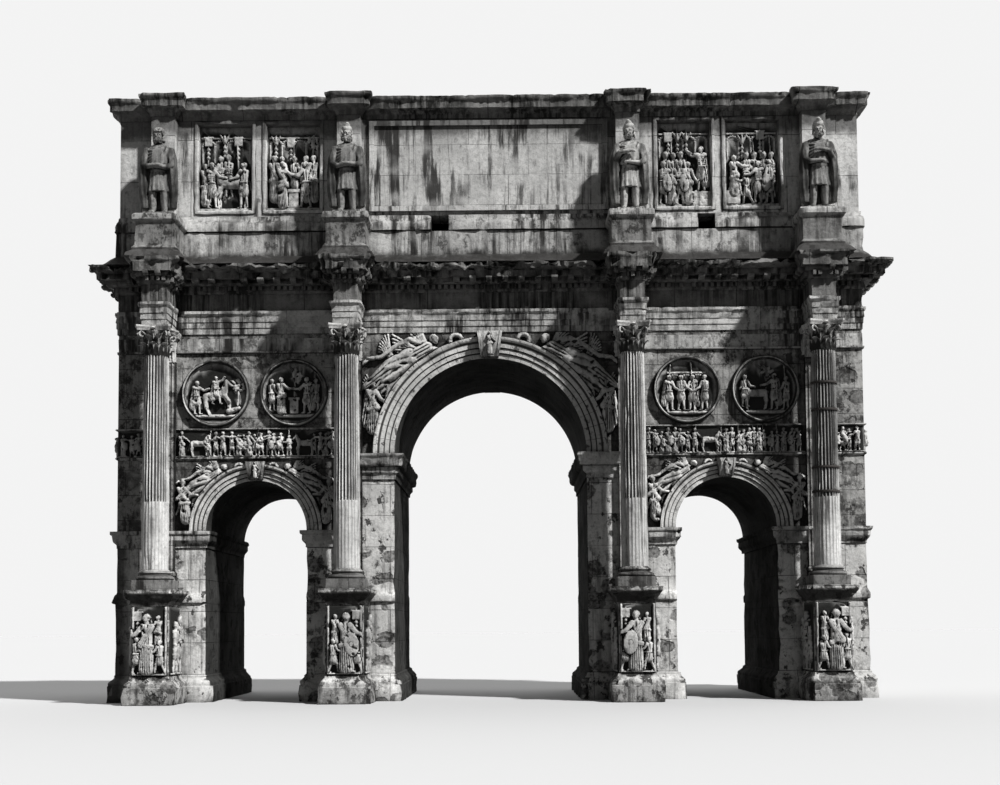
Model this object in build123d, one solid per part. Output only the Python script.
from build123d import *
import os
from math import cos, pi, sin

# A three-bay marble triumphal arch, in millimetres. X runs along the front, Y from the
# front (-Y) to the back, Z up from the ground. The origin is on the ground at the middle.

# Driving dimensions of the body
WALL_W = 25260
WALL_D = 6760
CENTRE_SPAN = 6500
SIDE_SPAN = 3400
SIDE_AXIS = 7920
OUTER_COLUMN_X = 11050
INNER_COLUMN_X = 4735
COLUMN_OUT = 1130

# Levels above the ground
PLINTH_STEP_Z = 550
PLINTH_Z = 930
DADO_Z = 3180
DADO_CAP_Z = 3720
SIDE_IMPOST_Z = 5180
SIDE_SPRING_Z = 5740
CENTRE_IMPOST_Z = 7450
CENTRE_SPRING_Z = 8300
FRIEZE_BAND_Z = 8240
FRIEZE_BAND_TOP_Z = 9220
ROUNDEL_Z = 10420
LETTER_BAND_BASE_Z = 11780
LETTER_BAND_Z = 11860
ARCHITRAVE_Z = 12450
FRIEZE_Z = 13220
CORNICE_Z = 13800
ATTIC_Z = 14680
ATTIC_BASE_MOULD_Z = 15930
ATTIC_WALL_Z = 16500
ATTIC_CORNICE_Z = 19870
TOP_Z = 20550

# Column and its parts
SHAFT_Z = 4380
CAPITAL_Z = 11470
SHAFT_R = 445
SHAFT_TOP_R = 395
CABLING_Z = 6650
FLUTES = 24
FLUTE_DEPTH = 0.09
BASE_SIDES = 12
BASE_HALF = 625
PEDESTAL_HALF = 605
PEDESTAL_OUT = 1750
BLOCK_HALF = 370
PILASTER_OUT = 200
ABACUS_HALF = 590
LEAF_DEPTH = 0.16
PILASTER_HALF = 400

# Arch rings, roundels, attic
SIDE_RING = 550
CENTRE_RING = 730
RING_OUT = 150
ROUNDEL_R = 1150
ROUNDEL_RIM = 150
ROUNDEL_OUT = 130
ROUNDEL_SIDES = 16
ROUNDEL_XS = (6660, 9310)
ATTIC_WALL_T = 1000
ATTIC_PIER_OUT = 480
ATTIC_PIER_HALF = 400
STATUE_STAND_HALF = 670
STATUE_STAND_OUT = 1540
STATUE_STAND_TOP_Z = 16200
STATUE_H = 3150
PLINTH_H = 90
PANEL_XS = (6700, 9030)
PANEL_HALF = 1050
END_PANEL_HALF = 2050
PANEL_Z = (16600, 19860)
PANEL_FRAME = 140
PANEL_OUT = 60
PANEL_GROUND = 260
PANEL_BACK = 350
TABLET_HALF = 4080
TABLET_Z = (16640, 19780)
HATCH_XS = (-1670, 7420)
HATCH_HALF = 300
HATCH_Z = (15930, 16430)
ROOF_INSET = 1000
ROOF_TOP_Z = 20700

HALF_W = WALL_W / 2
HALF_D = WALL_D / 2
COLUMN_XS = (-OUTER_COLUMN_X, -INNER_COLUMN_X, INNER_COLUMN_X, OUTER_COLUMN_X)
HALF_XS = COLUMN_XS[2:]
SIDE_R = SIDE_SPAN / 2
CENTRE_R = CENTRE_SPAN / 2
OUTER_PIER = (SIDE_AXIS + SIDE_R, HALF_W)
INNER_PIER = (CENTRE_R, SIDE_AXIS - SIDE_R)
SEAM_X = INNER_COLUMN_X

# Moulding profiles: each step is (spread beyond the face, level)
PLINTH_PROFILE = [
    (290, 0), (290, PLINTH_STEP_Z), (260, PLINTH_STEP_Z), (260, 640), (130, 780),
    (40, PLINTH_Z),
]
PIER_PROFILE = PLINTH_PROFILE + [
    (40, 3290), (130, 3320), (130, 3500), (0, 3680), (0, SIDE_IMPOST_Z),
]
SIDE_IMPOST_PROFILE = [
    (0, SIDE_IMPOST_Z), (50, SIDE_IMPOST_Z), (50, 5270), (180, 5440), (180, 5620),
    (220, SIDE_SPRING_Z),
]
CENTRE_IMPOST_PROFILE = [
    (0, CENTRE_IMPOST_Z), (60, CENTRE_IMPOST_Z), (60, 7580), (150, 7720), (150, 7860),
    (300, 8000), (300, 8170), (350, CENTRE_SPRING_Z),
]
PEDESTAL_PROFILE = [
    (280, 0), (280, PLINTH_STEP_Z), (250, PLINTH_STEP_Z), (250, 640), (130, 800),
    (0, PLINTH_Z), (0, DADO_Z), (50, 3220), (60, 3340), (200, 3480), (265, 3600),
    (265, DADO_CAP_Z),
]
ARCHITRAVE_PROFILE = [
    (50, ARCHITRAVE_Z), (50, 12650), (80, 12650), (80, 12850), (110, 12850), (110, 13060),
    (180, 13150), (180, FRIEZE_Z),
]
FRIEZE_PROFILE = [(50, FRIEZE_Z), (50, CORNICE_Z)]
CORNICE_PROFILE = [
    (90, CORNICE_Z), (90, 13850), (380, 13950), (380, 14070), (500, 14110), (820, 14150),
    (820, 14420), (1000, 14580), (1000, ATTIC_Z),
]
BREAK_CORNICE_PROFILE = [
    (90, CORNICE_Z), (90, 13850), (220, 13950), (220, 14070), (280, 14110), (440, 14150),
    (440, 14420), (560, 14580), (560, ATTIC_Z),
]
ATTIC_BASE_PROFILE = [
    (700, ATTIC_Z), (150, 15100), (120, 15100), (120, ATTIC_BASE_MOULD_Z), (210, 15970),
    (210, 16200), (90, 16400), (90, ATTIC_WALL_Z),
]
ATTIC_CORNICE_PROFILE = [
    (0, ATTIC_CORNICE_Z), (50, ATTIC_CORNICE_Z), (50, 19980), (170, 20110), (340, 20150),
    (340, 20330), (430, 20470), (430, TOP_Z),
]
STATUE_STAND_PROFILE = [
    (350, ATTIC_Z), (90, 14980), (90, 15060), (0, 15150), (0, 15880), (110, 15990), (110, 16150),
    (80, STATUE_STAND_TOP_Z),
]
PILASTER_PROFILE = [
    (120, DADO_CAP_Z), (120, 4050), (40, 4200), (70, 4320), (0, SHAFT_Z), (0, CAPITAL_Z),
]


def profile_face(half, steps):
    """The symmetric outline of a moulded block, with x across it and y up."""
    right = [(half + spread, level) for spread, level in steps]
    left = [(-x, level) for x, level in reversed(right)]
    return make_face(Polyline(*right, *left, close=True))


def moulded_block(half_x, half_y, steps):
    """A block whose four sides carry one moulding, mitred at the corners."""
    reach = max(half_x, half_y) + max(spread for spread, _ in steps)
    along_y = extrude(Plane.XZ * profile_face(half_x, steps), amount=reach, both=True)
    along_x = extrude(Plane.YZ * profile_face(half_y, steps), amount=reach, both=True)
    return along_y & along_x


def block(x_range, y_range, z_range):
    """A plain block between the given limits."""
    (x0, x1), (y0, y1), (z0, z1) = sorted(x_range), sorted(y_range), sorted(z_range)
    return Pos((x0 + x1) / 2, (y0 + y1) / 2, (z0 + z1) / 2) * Box(x1 - x0, y1 - y0, z1 - z0)


def break_forward(x, half, reach, steps, body):
    """A block of a course that stands forward of the body at x, on the front."""
    beam = moulded_block(half, reach, steps)
    front = block((-WALL_W, WALL_W), (-reach - 2000, 0), (0, TOP_Z))
    return (Pos(x, 0, 0) * beam & front) - body


def across(shape):
    """The mirror image at the other end of the front."""
    return mirror(shape, about=Plane.YZ)


def behind(shape):
    """The mirror image on the back of the arch."""
    return mirror(shape, about=Plane.XZ)


def node(name, shapes):
    """Writes one node, with each of its solids kept apart."""
    solids = [solid for shape in shapes for solid in shape.solids()]
    part = solids[0] if len(solids) == 1 else Compound(children=solids)
    export_step(part, f"parts/{name}.step")


# Piers and imposts


def pier_block(x_range, steps):
    """A pier, or a course of one, over the full depth of the arch."""
    x0, x1 = x_range
    return Pos((x0 + x1) / 2, 0, 0) * moulded_block((x1 - x0) / 2, HALF_D, steps)


def passage(x_range, top_z):
    """The clear way between two piers above their plinths, where no moulding stands out."""
    return block(x_range, (-WALL_D, WALL_D), (PLINTH_Z, top_z))


def outer_pier():
    """The right outer pier, from its plinth to the impost."""
    side_passage = passage((INNER_PIER[1], OUTER_PIER[0]), SIDE_IMPOST_Z)
    return pier_block(OUTER_PIER, PIER_PROFILE) - side_passage


def inner_pier():
    """The right inner pier, which rises further on its side towards the middle."""
    side_passage = passage((INNER_PIER[1], OUTER_PIER[0]), SIDE_IMPOST_Z)
    centre_passage = passage((-CENTRE_R, CENTRE_R), CENTRE_IMPOST_Z)
    rise = block((CENTRE_R, SEAM_X), (-HALF_D, HALF_D), (SIDE_IMPOST_Z, CENTRE_IMPOST_Z))
    return pier_block(INNER_PIER, PIER_PROFILE) - side_passage - centre_passage + rise


def side_imposts():
    """Impost courses under the right side arch: one on each pier, cut off at the taller half."""
    outer = pier_block(OUTER_PIER, SIDE_IMPOST_PROFILE)
    inner = pier_block(INNER_PIER, SIDE_IMPOST_PROFILE)
    deep = HALF_D + 1000
    inner -= block((0, SEAM_X), (-deep, deep), (SIDE_IMPOST_Z, SIDE_SPRING_Z))
    return [outer, inner]


def centre_impost():
    """The impost course under the right foot of the middle arch."""
    return pier_block((CENTRE_R, SEAM_X), CENTRE_IMPOST_PROFILE) - block(
        (SEAM_X, SEAM_X + 1000), (-HALF_D * 2, HALF_D * 2), (CENTRE_IMPOST_Z, CENTRE_SPRING_Z)
    )


# Walls and arch rings


def arch_ring(radius, width, spring_z):
    """A ring of voussoirs through the whole depth, standing proud of both faces."""
    ring = extrude(Plane.XZ * half_ring(radius, radius + width), amount=HALF_D + RING_OUT, both=True)
    return Pos(0, 0, spring_z) * ring


def half_ring(inner, outer):
    """Half a flat ring above the springing line."""
    arcs = [
        ThreePointArc((-outer, 0), (0, outer), (outer, 0)),
        ThreePointArc((-inner, 0), (0, inner), (inner, 0)),
    ]
    feet = [Line((-outer, 0), (-inner, 0)), Line((inner, 0), (outer, 0))]
    return make_face(Curve() + arcs + feet)


def half_disc_cut(radius, spring_z, axis_x):
    """What a wall leaves out for an arch ring."""
    disc = Pos(axis_x, 0, spring_z) * Rot(90, 0, 0) * Cylinder(radius, WALL_D * 2)
    x_range = (axis_x - radius, axis_x + radius)
    return disc & block(x_range, (-WALL_D, WALL_D), (spring_z, spring_z + radius))


def bay_wall():
    """The wall over the right side arch."""
    wall = block((SEAM_X, HALF_W), (-HALF_D, HALF_D), (SIDE_SPRING_Z, ARCHITRAVE_Z))
    return wall - half_disc_cut(SIDE_R + SIDE_RING, SIDE_SPRING_Z, SIDE_AXIS)


def centre_wall():
    """The wall over the middle arch."""
    wall = block((-SEAM_X, SEAM_X), (-HALF_D, HALF_D), (CENTRE_SPRING_Z, ARCHITRAVE_Z))
    return wall - half_disc_cut(CENTRE_R + CENTRE_RING, CENTRE_SPRING_Z, 0)


# Columns


def pedestal(x):
    """A front column's pedestal, engaged with the pier behind it."""
    half_y = PEDESTAL_OUT / 2 + 200
    whole = moulded_block(PEDESTAL_HALF, half_y, PEDESTAL_PROFILE)
    return Pos(x, -HALF_D - PEDESTAL_OUT + half_y, 0) * whole


def ring_points(sides, radius, z, squash=1):
    """The corners of a flat-sided round at a level, or of an oval squashed along Y."""
    angles = [2 * pi * i / sides for i in range(sides)]
    return [(radius * cos(angle), radius * squash * sin(angle), z) for angle in angles]


def oval_mould(squash, *steps):
    """A flat-sided oval body through (radius, level) steps."""
    return skin([ring_points(8, radius, z, squash) for radius, z in steps])


def skin(rings):
    """A closed flat-sided solid through rings of corners, each with as many as the next."""
    faces = [make_face(Polyline(*ring, close=True)) for ring in (rings[0], rings[-1])]
    for low, high in zip(rings, rings[1:]):
        for i, corner in enumerate(low):
            j = i + 1 if i + 1 < len(low) else 0
            faces.append(make_face(Polyline(corner, low[j], high[j], high[i], close=True)))
    return Part() + Solid(Shell(faces))


def column_base():
    """An Attic base on a square plinth."""
    plinth = block((-BASE_HALF, BASE_HALF), (-BASE_HALF, BASE_HALF), (DADO_CAP_Z, 4050))
    steps = ((600, 4050), (610, 4160), (495, 4230), (530, 4290), (480, SHAFT_Z))
    return plinth + skin([ring_points(BASE_SIDES, radius, z) for radius, z in steps])


def star(lobes, radius, hollow, z, turn=0):
    """The corners of a round with a hollow after each ridge, turned by a share of the pitch."""
    points = []
    for i in range(lobes):
        for share, r in ((0, radius), (0.5, radius - hollow)):
            angle = (i + share + turn) * 2 * pi / lobes
            points.append((r * cos(angle), r * sin(angle), z))
    return points


def shaft():
    """A fluted shaft whose lowest third is cabled."""
    cabled = skin([ring_points(FLUTES, SHAFT_R, z) for z in (SHAFT_Z, CABLING_Z)])
    sizes = ((SHAFT_R - 12, CABLING_Z), (SHAFT_TOP_R, CAPITAL_Z))
    return cabled + skin([star(FLUTES, r, r * FLUTE_DEPTH, z) for r, z in sizes])


def abacus(half, z_low, z_high):
    """A capital's top slab, with hollow sides and cut corners."""
    cut, hollow = half * 0.84, half * 0.8
    side = [(-cut, half), (-cut * 0.3, hollow), (cut * 0.3, hollow), (cut, half)]
    turns = ((1, 0), (0, -1), (-1, 0), (0, 1))
    outline = [(x * c - y * d, x * d + y * c) for c, d in turns for x, y in side]
    return extrude(Pos(0, 0, z_low) * make_face(Polyline(*outline, close=True)), amount=z_high - z_low)


def leaf_tier(low_r, high_r, low, high, turn):
    """One row of eight leaves round a capital, which flare towards their tips."""
    return skin([star(8, r, r * LEAF_DEPTH, z, turn) for r, z in ((low_r, low), (high_r, high))])


def capital():
    """A Corinthian capital: two rows of leaves, corner volutes and abacus."""
    tiers = leaf_tier(405, 510, CAPITAL_Z, 11850, 0) + leaf_tier(420, 580, 11850, 12280, 0.5)
    corner = Pos(640, 0, 12205) * Box(170, 130, 150)
    volutes = [Rot(0, 0, 45 + 90 * step) * corner for step in range(4)]
    return tiers + volutes + abacus(ABACUS_HALF, 12280, ARCHITRAVE_Z)


def pilaster(x):
    """The flat fluted pilaster on the wall behind a column, with its base."""
    whole = moulded_block(PILASTER_HALF, PILASTER_OUT, PILASTER_PROFILE)
    wall = block((x - 2000, x + 2000), (-HALF_D, HALF_D), (0, TOP_Z))
    return Pos(x, -HALF_D, 0) * whole - wall


def pilaster_capital(x):
    """The flat capital over a pilaster."""
    steps = [
        (0, CAPITAL_Z), (100, 11850), (20, 11850), (120, 12280), (170, 12280), (170, ARCHITRAVE_Z),
    ]
    whole = moulded_block(PILASTER_HALF, PILASTER_OUT, steps)
    wall = block((x - 2000, x + 2000), (-HALF_D, HALF_D), (0, TOP_Z))
    return Pos(x, -HALF_D, 0) * whole - wall


# Carved bands, roundels, keystones


def belt(steps):
    """A band round both side bays and the ends, interrupted by the pilasters."""
    low, high = steps[0][1], steps[-1][1]
    band = moulded_block(HALF_W, HALF_D, steps)
    band -= block((-HALF_W, HALF_W), (-HALF_D, HALF_D), (low, high))
    band -= block((-SEAM_X, SEAM_X), (-WALL_D, WALL_D), (low, high))
    for x in COLUMN_XS:
        band -= block((x - PILASTER_HALF, x + PILASTER_HALF), (-WALL_D, WALL_D), (low, high))
    return band


def keystone(half_low, half_high, z_low, z_high, out):
    """A keystone on the front of a ring, cut to a wedge."""
    outline = Polyline(
        (-half_low, z_low), (half_low, z_low), (half_high, z_high), (-half_high, z_high), close=True
    )
    wedge = extrude(Plane.XZ * make_face(outline), amount=out)
    return Pos(0, -HALF_D - RING_OUT, 0) * wedge


def roundel():
    """A carved disc in a raised rim, lying on the plane Z = 0."""
    rim = extrude(RegularPolygon(ROUNDEL_R, ROUNDEL_SIDES), amount=ROUNDEL_OUT)
    field = RegularPolygon(ROUNDEL_R - ROUNDEL_RIM, ROUNDEL_SIDES)
    return rim - Pos(0, 0, ROUNDEL_OUT / 2) * extrude(field, amount=ROUNDEL_OUT)


def framed_panel(half, z_range, frame, out, ground, back):
    """A panel on the front whose frame stands out from the wall and whose ground lies behind it."""
    low, high = z_range
    plate = block((-half, half), (-HALF_D - out, -HALF_D + back), (low, high))
    field_x = (frame - half, half - frame)
    field = block(field_x, (-HALF_D - out, -HALF_D + ground), (low + frame, high - frame))
    return plate - field


def relief_panel(half):
    """A sunk panel for a carved scene in the attic wall."""
    return framed_panel(half, PANEL_Z, PANEL_FRAME, PANEL_OUT, PANEL_GROUND, PANEL_BACK)


def panel_pocket(half):
    """What the attic wall leaves out for a sunk panel."""
    return block((-half, half), (-HALF_D - PANEL_OUT, -HALF_D + PANEL_BACK), PANEL_Z)


def on_end(shape):
    """Brings a piece from the front wall plane to the right end."""
    return Pos(HALF_W, 0, 0) * Rot(0, 0, 90) * Pos(0, HALF_D, 0) * shape


# Attic


def statue_stand(x):
    """A statue's pedestal, which stands before the attic base."""
    half_y = STATUE_STAND_OUT / 2
    whole = moulded_block(STATUE_STAND_HALF, half_y, STATUE_STAND_PROFILE)
    return Pos(x, -HALF_D - half_y, 0) * whole - attic_base_course()


def attic_base_course():
    """The whole moulded base of the attic."""
    return moulded_block(HALF_W, HALF_D, ATTIC_BASE_PROFILE)


def attic_pier(x):
    """The pier behind a statue."""
    x_range = (x - ATTIC_PIER_HALF, x + ATTIC_PIER_HALF)
    whole = block(x_range, (-HALF_D - ATTIC_PIER_OUT, -HALF_D), (STATUE_STAND_TOP_Z, ATTIC_CORNICE_Z))
    return whole - attic_base_course()


def attic_base_front():
    """The front run of the attic base, with its two hatches."""
    run_y = (-HALF_D - 1000, -HALF_D + ATTIC_WALL_T)
    base = attic_base_course() & block((-WALL_W, WALL_W), run_y, (ATTIC_Z, ATTIC_WALL_Z))
    for x in HATCH_XS:
        base -= block((x - HATCH_HALF, x + HATCH_HALF), run_y, HATCH_Z)
    return base


def attic_base_end():
    """The right end run of the attic base, between the front and back runs."""
    inside = HALF_D - ATTIC_WALL_T
    space = block((HALF_W - ATTIC_WALL_T, WALL_W), (-inside, inside), (ATTIC_Z, ATTIC_WALL_Z))
    return attic_base_course() & space


def figure():
    """A standing cloaked man on a low plinth, with his arms folded, in a soft cap."""
    robe = oval_mould(0.8, (370, PLINTH_H), (420, 700), (430, 1350))
    chest = oval_mould(0.72, (430, 1350), (500, 2250), (400, 2450), (140, 2560))
    neck = oval_mould(1, (110, 2560), (110, 2620))
    head = Pos(0, -30, 0) * oval_mould(1.2, (130, 2600), (180, 2720), (180, 2920), (70, STATUE_H))
    return block((-450, 450), (-400, 400), (0, PLINTH_H)) + [robe, chest, neck, head]


def both_ends(shape):
    return [shape, across(shape)]


def all_round(shape):
    """The piece and its mirror images at the other end and on the back."""
    return [shape, across(shape), behind(shape), behind(across(shape))]


def build():
    os.makedirs("parts", exist_ok=True)
    outer, inner = outer_pier(), inner_pier()
    node("right_outer_pier", [outer])
    node("left_outer_pier", [across(outer)])
    node("right_inner_pier", [inner])
    node("left_inner_pier", [across(inner)])

    pilaster_set = [piece for x in HALF_XS for piece in all_round(pilaster(x))]
    node("pilasters", pilaster_set)
    flat_capitals = [piece for x in HALF_XS for piece in all_round(pilaster_capital(x))]
    node("pilaster_capitals", flat_capitals)
    right_posts = [piece for piece in pilaster_set if piece.center().X > 0]
    imposts = [impost - right_posts for impost in side_imposts()]
    node("side_imposts", [piece for impost in imposts for piece in both_ends(impost)])
    node("centre_imposts", both_ends(centre_impost() - right_posts))

    side_ring = arch_ring(SIDE_R, SIDE_RING, SIDE_SPRING_Z)
    centre_ring = arch_ring(CENTRE_R, CENTRE_RING, CENTRE_SPRING_Z)
    right_ring = Pos(SIDE_AXIS, 0, 0) * side_ring
    node("right_arch_ring", [right_ring])
    node("left_arch_ring", [across(right_ring)])
    node("centre_arch_ring", [centre_ring])
    side_key = Pos(SIDE_AXIS, 0, 0) * keystone(230, 330, 7460, 8060, 210)
    centre_key = keystone(300, 430, 11570, 12430, 310)
    node("side_keystones", all_round(side_key))
    node("centre_keystones", [centre_key, behind(centre_key)])
    wall = bay_wall()
    node("right_bay_wall", [wall])
    node("left_bay_wall", [across(wall)])
    node("centre_wall", [centre_wall()])

    stands = [pedestal(INNER_COLUMN_X) - inner, pedestal(OUTER_COLUMN_X) - outer]
    node("pedestals", [piece for stand in stands for piece in all_round(stand)])
    column_y = HALF_D + COLUMN_OUT
    stack = {"column_bases": column_base(), "column_shafts": shaft(), "column_capitals": capital()}
    for name, shape in stack.items():
        node(name, [Pos(x, y, 0) * shape for x in COLUMN_XS for y in (-column_y, column_y)])

    node("lower_string_course", [belt([(70, 8150), (70, FRIEZE_BAND_Z)])])
    node("relief_frieze", [belt([(40, FRIEZE_BAND_Z), (40, 9130), (70, FRIEZE_BAND_TOP_Z)])])
    steps = [(90, LETTER_BAND_BASE_Z), (90, LETTER_BAND_Z), (30, LETTER_BAND_Z), (30, 12300)]
    node("upper_bands", [belt(steps) - flat_capitals])
    disc = roundel()
    front_disc = Pos(0, -HALF_D, ROUNDEL_Z) * Rot(90, 0, 0) * disc
    discs = [piece for x in ROUNDEL_XS for piece in all_round(Pos(x, 0, 0) * front_disc)]
    node("roundels", discs + both_ends(on_end(front_disc)))

    architrave, frieze, cornice, top = [
        moulded_block(HALF_W, HALF_D, steps)
        for steps in (ARCHITRAVE_PROFILE, FRIEZE_PROFILE, CORNICE_PROFILE, ATTIC_CORNICE_PROFILE)
    ]
    node("architrave", [architrave])
    node("frieze_course", [frieze])
    node("main_cornice", [cornice])
    node("attic_cornice", [top])
    blocks, cornice_breaks, top_breaks = [], [], []
    block_reach = column_y + BLOCK_HALF
    pier_reach = HALF_D + ATTIC_PIER_OUT
    low_steps = ARCHITRAVE_PROFILE + FRIEZE_PROFILE
    for x in HALF_XS:
        blocks += all_round(break_forward(x, BLOCK_HALF, block_reach, low_steps, architrave + frieze))
        cornice_breaks += all_round(
            break_forward(x, BLOCK_HALF, block_reach, BREAK_CORNICE_PROFILE, cornice)
        )
        top_breaks += all_round(
            break_forward(x, ATTIC_PIER_HALF, pier_reach, ATTIC_CORNICE_PROFILE, top)
        )
    node("column_blocks", blocks)
    node("cornice_breaks", cornice_breaks)
    node("attic_cornice_breaks", top_breaks)

    node("statue_stands", [piece for x in HALF_XS for piece in all_round(statue_stand(x))])
    node("attic_piers", [piece for x in HALF_XS for piece in all_round(attic_pier(x))])
    base = attic_base_front()
    node("attic_front_base", [base])
    node("attic_back_base", [behind(base)])
    node("attic_end_bases", both_ends(attic_base_end()))
    inside = HALF_D - ATTIC_WALL_T
    wall_z = (ATTIC_WALL_Z, ATTIC_CORNICE_Z)
    pockets = [piece for x in PANEL_XS for piece in both_ends(Pos(x, 0, 0) * panel_pocket(PANEL_HALF))]
    front = block((-HALF_W, HALF_W), (-HALF_D, -inside), wall_z) - pockets
    end = block((HALF_W - ATTIC_WALL_T, HALF_W), (-inside, inside), wall_z)
    end -= on_end(panel_pocket(END_PANEL_HALF))
    node("attic_front_wall", [front])
    node("attic_back_wall", [behind(front)])
    node("attic_end_walls", both_ends(end))
    panels = [piece for x in PANEL_XS for piece in all_round(Pos(x, 0, 0) * relief_panel(PANEL_HALF))]
    node("attic_relief_panels", panels + both_ends(on_end(relief_panel(END_PANEL_HALF))))
    tablet = framed_panel(TABLET_HALF, TABLET_Z, frame=170, out=110, ground=-30, back=0)
    node("inscription_tablets", [tablet, behind(tablet)])
    roof_x, roof_y = HALF_W - ROOF_INSET, HALF_D - ROOF_INSET
    node("roof_slab", [block((-roof_x, roof_x), (-roof_y, roof_y), (TOP_Z, ROOF_TOP_Z))])
    man = figure()
    man_y = -HALF_D - ATTIC_PIER_OUT - 540
    node("statues", [
        piece for x in HALF_XS for piece in all_round(Pos(x, man_y, STATUE_STAND_TOP_Z) * man)
    ])


build()
